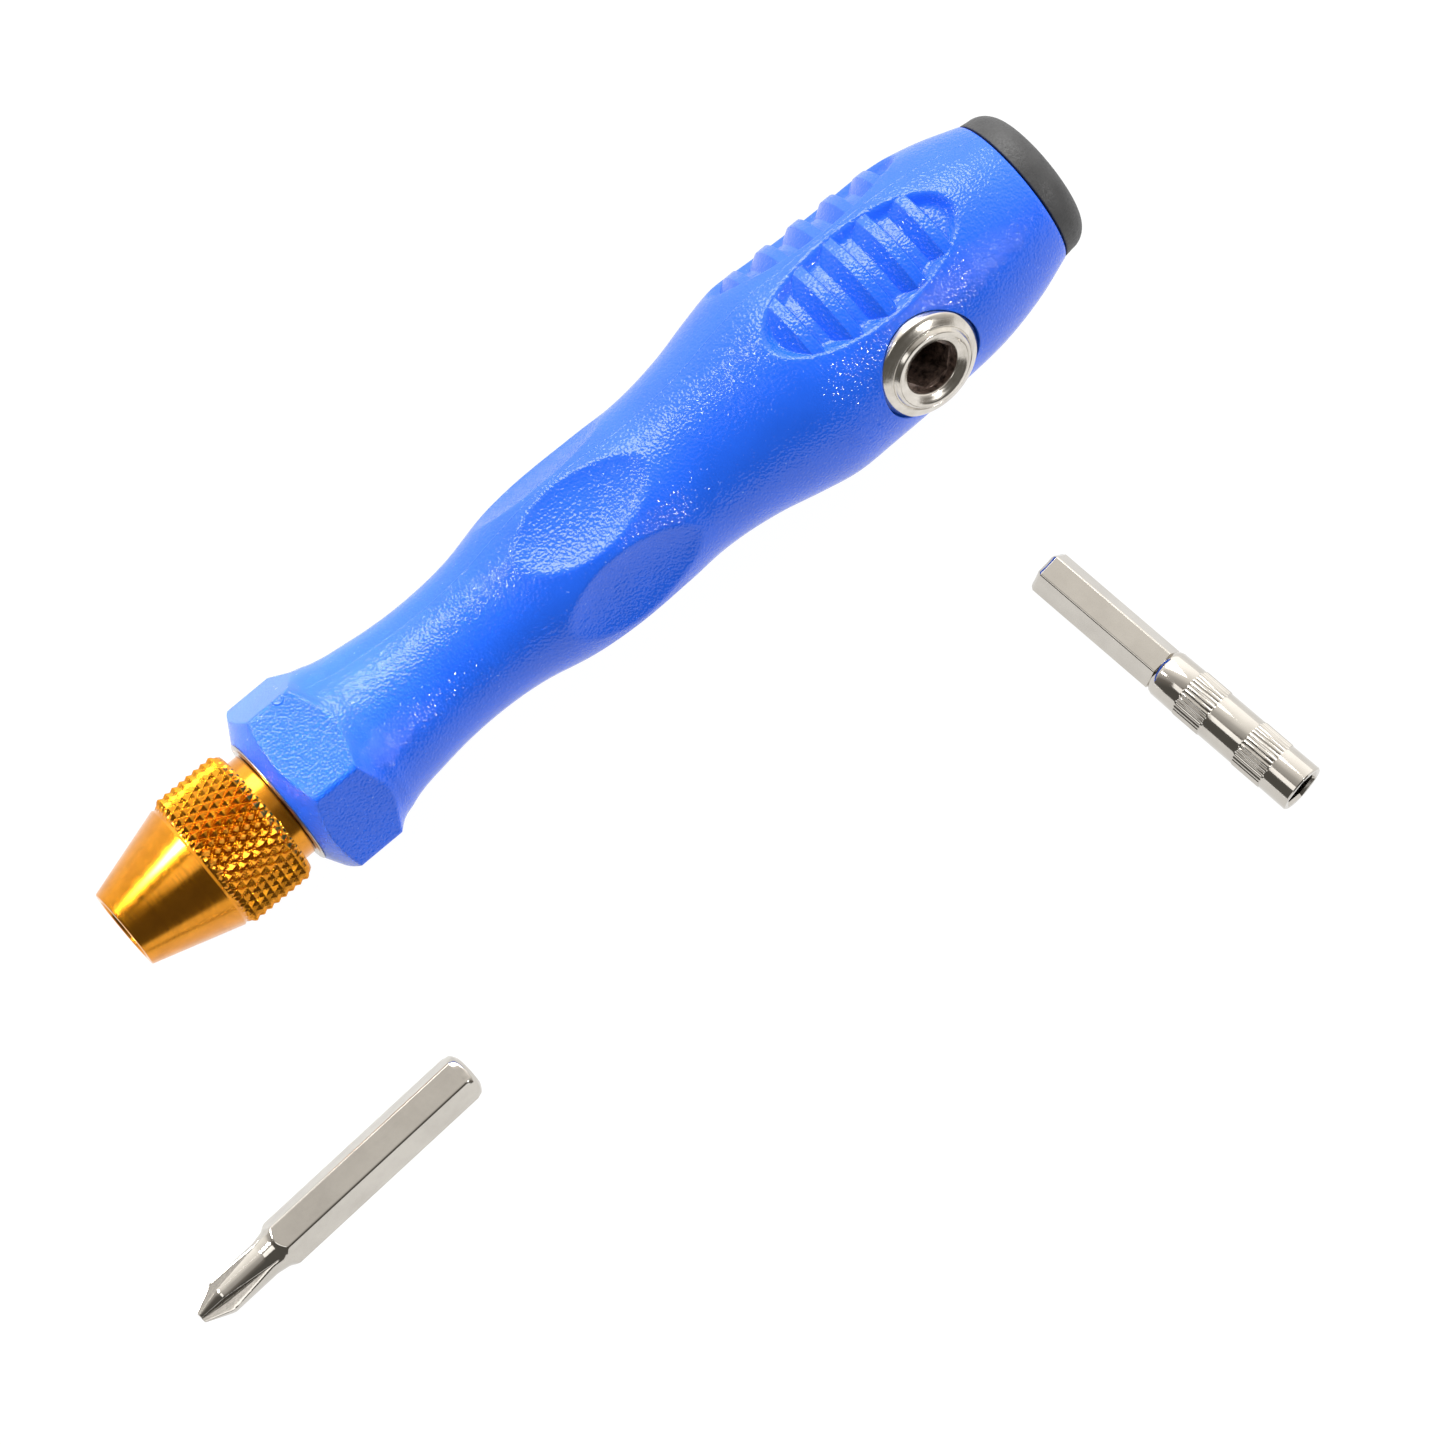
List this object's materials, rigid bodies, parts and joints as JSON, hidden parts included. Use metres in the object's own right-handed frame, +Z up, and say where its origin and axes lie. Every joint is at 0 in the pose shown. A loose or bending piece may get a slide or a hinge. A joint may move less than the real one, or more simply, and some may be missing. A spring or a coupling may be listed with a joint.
{
  "type": "precision screwdriver",
  "caption": "Precision screwdriver: waisted ribbed plastic handle, knurled collet chuck, side drive socket, swivel end cap, loose hex-shank bits lying beside it.",
  "frame": {"origin": "centre of the end cap's flat end, on the handle's axis", "axes": "+X along the handle's axis from the end cap to the chuck's mouth, +Z up from the surface the screwdriver and its bits lie on, +Y towards the loose bits"},
  "size_m": [0.1156, 0.0639, 0.0198],
  "materials": {
    "handle_plastic": "blue polypropylene, fine moulded grain",
    "cap_plastic": "charcoal, matt",
    "gold_anodised": "turned and gold anodised",
    "nickel_plate": "bright nickel plate",
    "bit_plate": "satin nickel plate",
    "collet_steel": "turned steel",
    "magnet": "nickel plated magnet",
    "acetal": "natural acetal"
  },
  "bodies": {
    "handle": {"handle_body": "handle_plastic", "chuck_stud": "nickel_plate", "bit_magnet": "magnet", "side_bush": "nickel_plate", "side_magnet": "magnet", "swivel_pin": "collet_steel", "thrust_washer": "acetal"},
    "collet": {"collet": "collet_steel"},
    "chuck_nut": {"chuck_nut": "gold_anodised"},
    "end_cap": {"end_cap": "cap_plastic"},
    "cross_bit": {"cross_bit": "bit_plate"},
    "socket_bit": {"socket_bit": "bit_plate"}
  },
  "joints": [
    {"name": "collet_travel", "type": "slide", "parent": "handle", "child": "collet", "axis": [1, 0, 0], "range_m": [0, 0.0031]},
    {"name": "chuck_nut_turn", "type": "hinge", "parent": "collet", "child": "chuck_nut", "pos_m": [0.09, 0, 0], "axis": [1, 0, 0], "range_deg": [0, 1440]},
    {"name": "end_cap_swivel", "type": "hinge", "parent": "handle", "child": "end_cap", "pos_m": [0, 0, 0], "axis": [1, 0, 0], "continuous": true},
    {"name": "cross_bit_lift", "type": "slide", "parent": "handle", "child": "cross_bit", "axis": [0, 0, 1], "range_m": [0, 0.03]},
    {"name": "socket_bit_lift", "type": "slide", "parent": "handle", "child": "socket_bit", "axis": [0, 0, 1], "range_m": [0, 0.03]}
  ],
  "couplings": [
    {"joint": "collet_travel", "follows": "chuck_nut_turn", "m_per_rad": 0.00011937}
  ]
}
